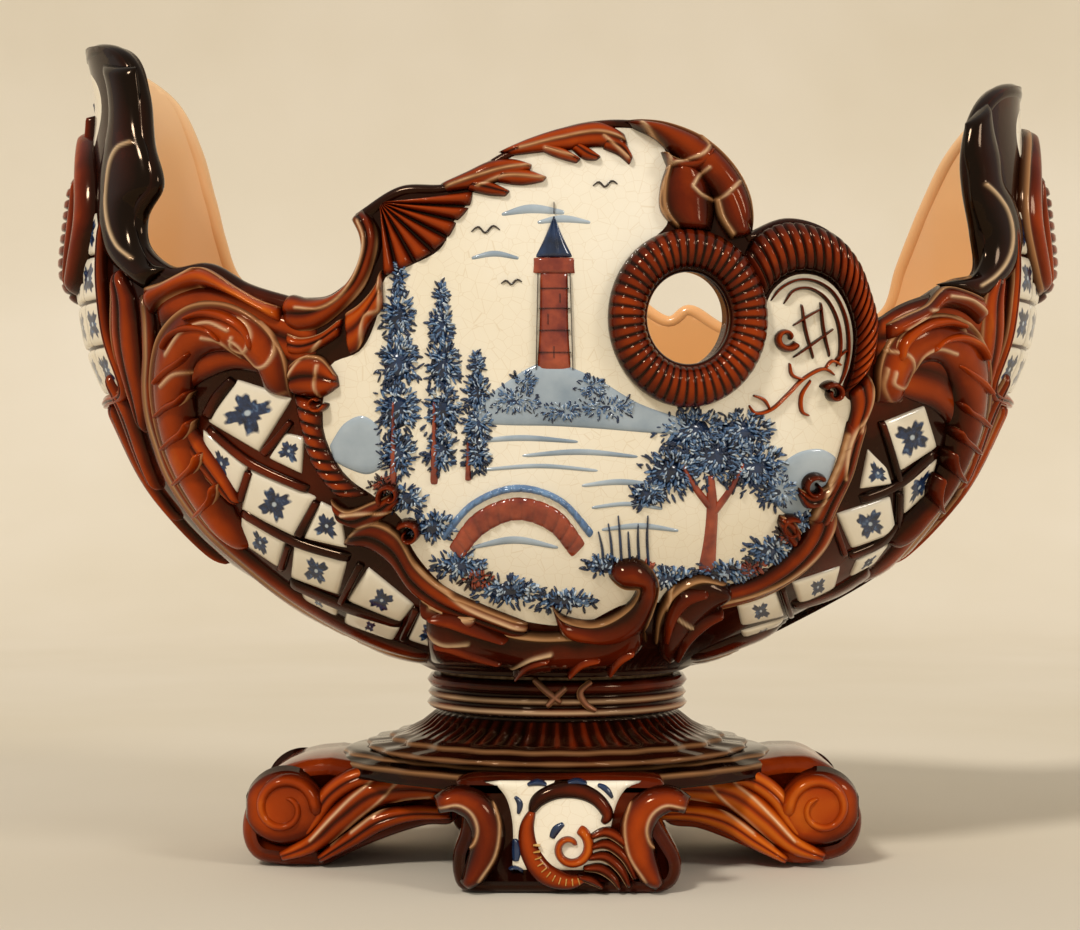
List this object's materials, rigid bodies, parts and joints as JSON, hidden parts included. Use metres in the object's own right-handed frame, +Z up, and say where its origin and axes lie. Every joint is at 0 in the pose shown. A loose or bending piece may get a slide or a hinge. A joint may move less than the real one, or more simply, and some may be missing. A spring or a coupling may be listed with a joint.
{
  "type": "jardiniere",
  "caption": "Boat-shaped glazed earthenware planter with scroll rim, pierced ring and high ends, bolted to a footed pedestal, with a lift-out metal liner on folding wire handles.",
  "frame": {"origin": "on the floor, under the centre of the pedestal and of the whole object", "axes": "+X along the bowl towards its lower end, -Y towards the painted front, +Z up"},
  "size_m": [0.6022, 0.3083, 0.4782],
  "materials": {
    "bowl_glaze": "glossy lead glaze, cream, brown and peach",
    "brown_glaze": "glossy chestnut majolica glaze",
    "base_glaze": "glossy chestnut majolica glaze with cream reserves",
    "iron": "dark forged and oiled",
    "seal_leather": "oiled",
    "bedding": "cork sheet",
    "zinc": "dull rolled zinc sheet",
    "handle_brass": "worn drawn wire"
  },
  "bodies": {
    "planter": {"bowl_base": "bowl_glaze", "bowl_front_wall": "bowl_glaze", "bowl_back_wall": "bowl_glaze", "ring_scroll": "brown_glaze", "crest_scroll": "brown_glaze", "shell_scroll": "brown_glaze", "fan_shell": "brown_glaze", "left_frame_scroll": "brown_glaze", "right_frame_scroll": "brown_glaze", "left_shoulder_leaf": "brown_glaze", "right_shoulder_leaf": "brown_glaze", "apron_scroll": "brown_glaze", "back_apron_scroll": "brown_glaze", "front_left_rib": "brown_glaze", "front_right_rib": "brown_glaze", "back_left_rib": "brown_glaze", "back_right_rib": "brown_glaze", "left_prow_scroll": "brown_glaze", "right_prow_scroll": "brown_glaze", "pedestal_stem": "base_glaze", "plinth": "base_glaze", "front_foot": "base_glaze", "back_foot": "base_glaze", "left_foot": "base_glaze", "right_foot": "base_glaze", "tie_bolt": "iron", "bolt_washer": "iron", "nut_washer": "iron", "hex_nut": "iron", "bolt_seal": "seal_leather", "bedding_ring": "bedding", "back_left_frame_scroll": "brown_glaze", "back_right_frame_scroll": "brown_glaze", "back_left_shoulder_leaf": "brown_glaze", "back_right_shoulder_leaf": "brown_glaze", "front_left_tip_band": "brown_glaze", "back_left_tip_band": "brown_glaze", "front_right_tip_band": "brown_glaze", "back_right_tip_band": "brown_glaze"},
    "liner": {"liner_pan": "zinc", "left_handle_lug": "zinc", "right_handle_lug": "zinc"},
    "left_handle": {"left_liner_handle": "handle_brass"},
    "right_handle": {"right_liner_handle": "handle_brass"}
  },
  "joints": [
    {"name": "liner_lift", "type": "slide", "parent": "planter", "child": "liner", "axis": [0, 0, 1], "range_m": [0, 0.38]},
    {"name": "left_handle_swing", "type": "hinge", "parent": "liner", "child": "left_handle", "pos_m": [-0.22299, 0, 0.268], "axis": [0, -1, 0], "range_deg": [0, 150]},
    {"name": "right_handle_swing", "type": "hinge", "parent": "liner", "child": "right_handle", "pos_m": [0.22299, 0, 0.268], "axis": [0, 1, 0], "range_deg": [0, 150]}
  ]
}
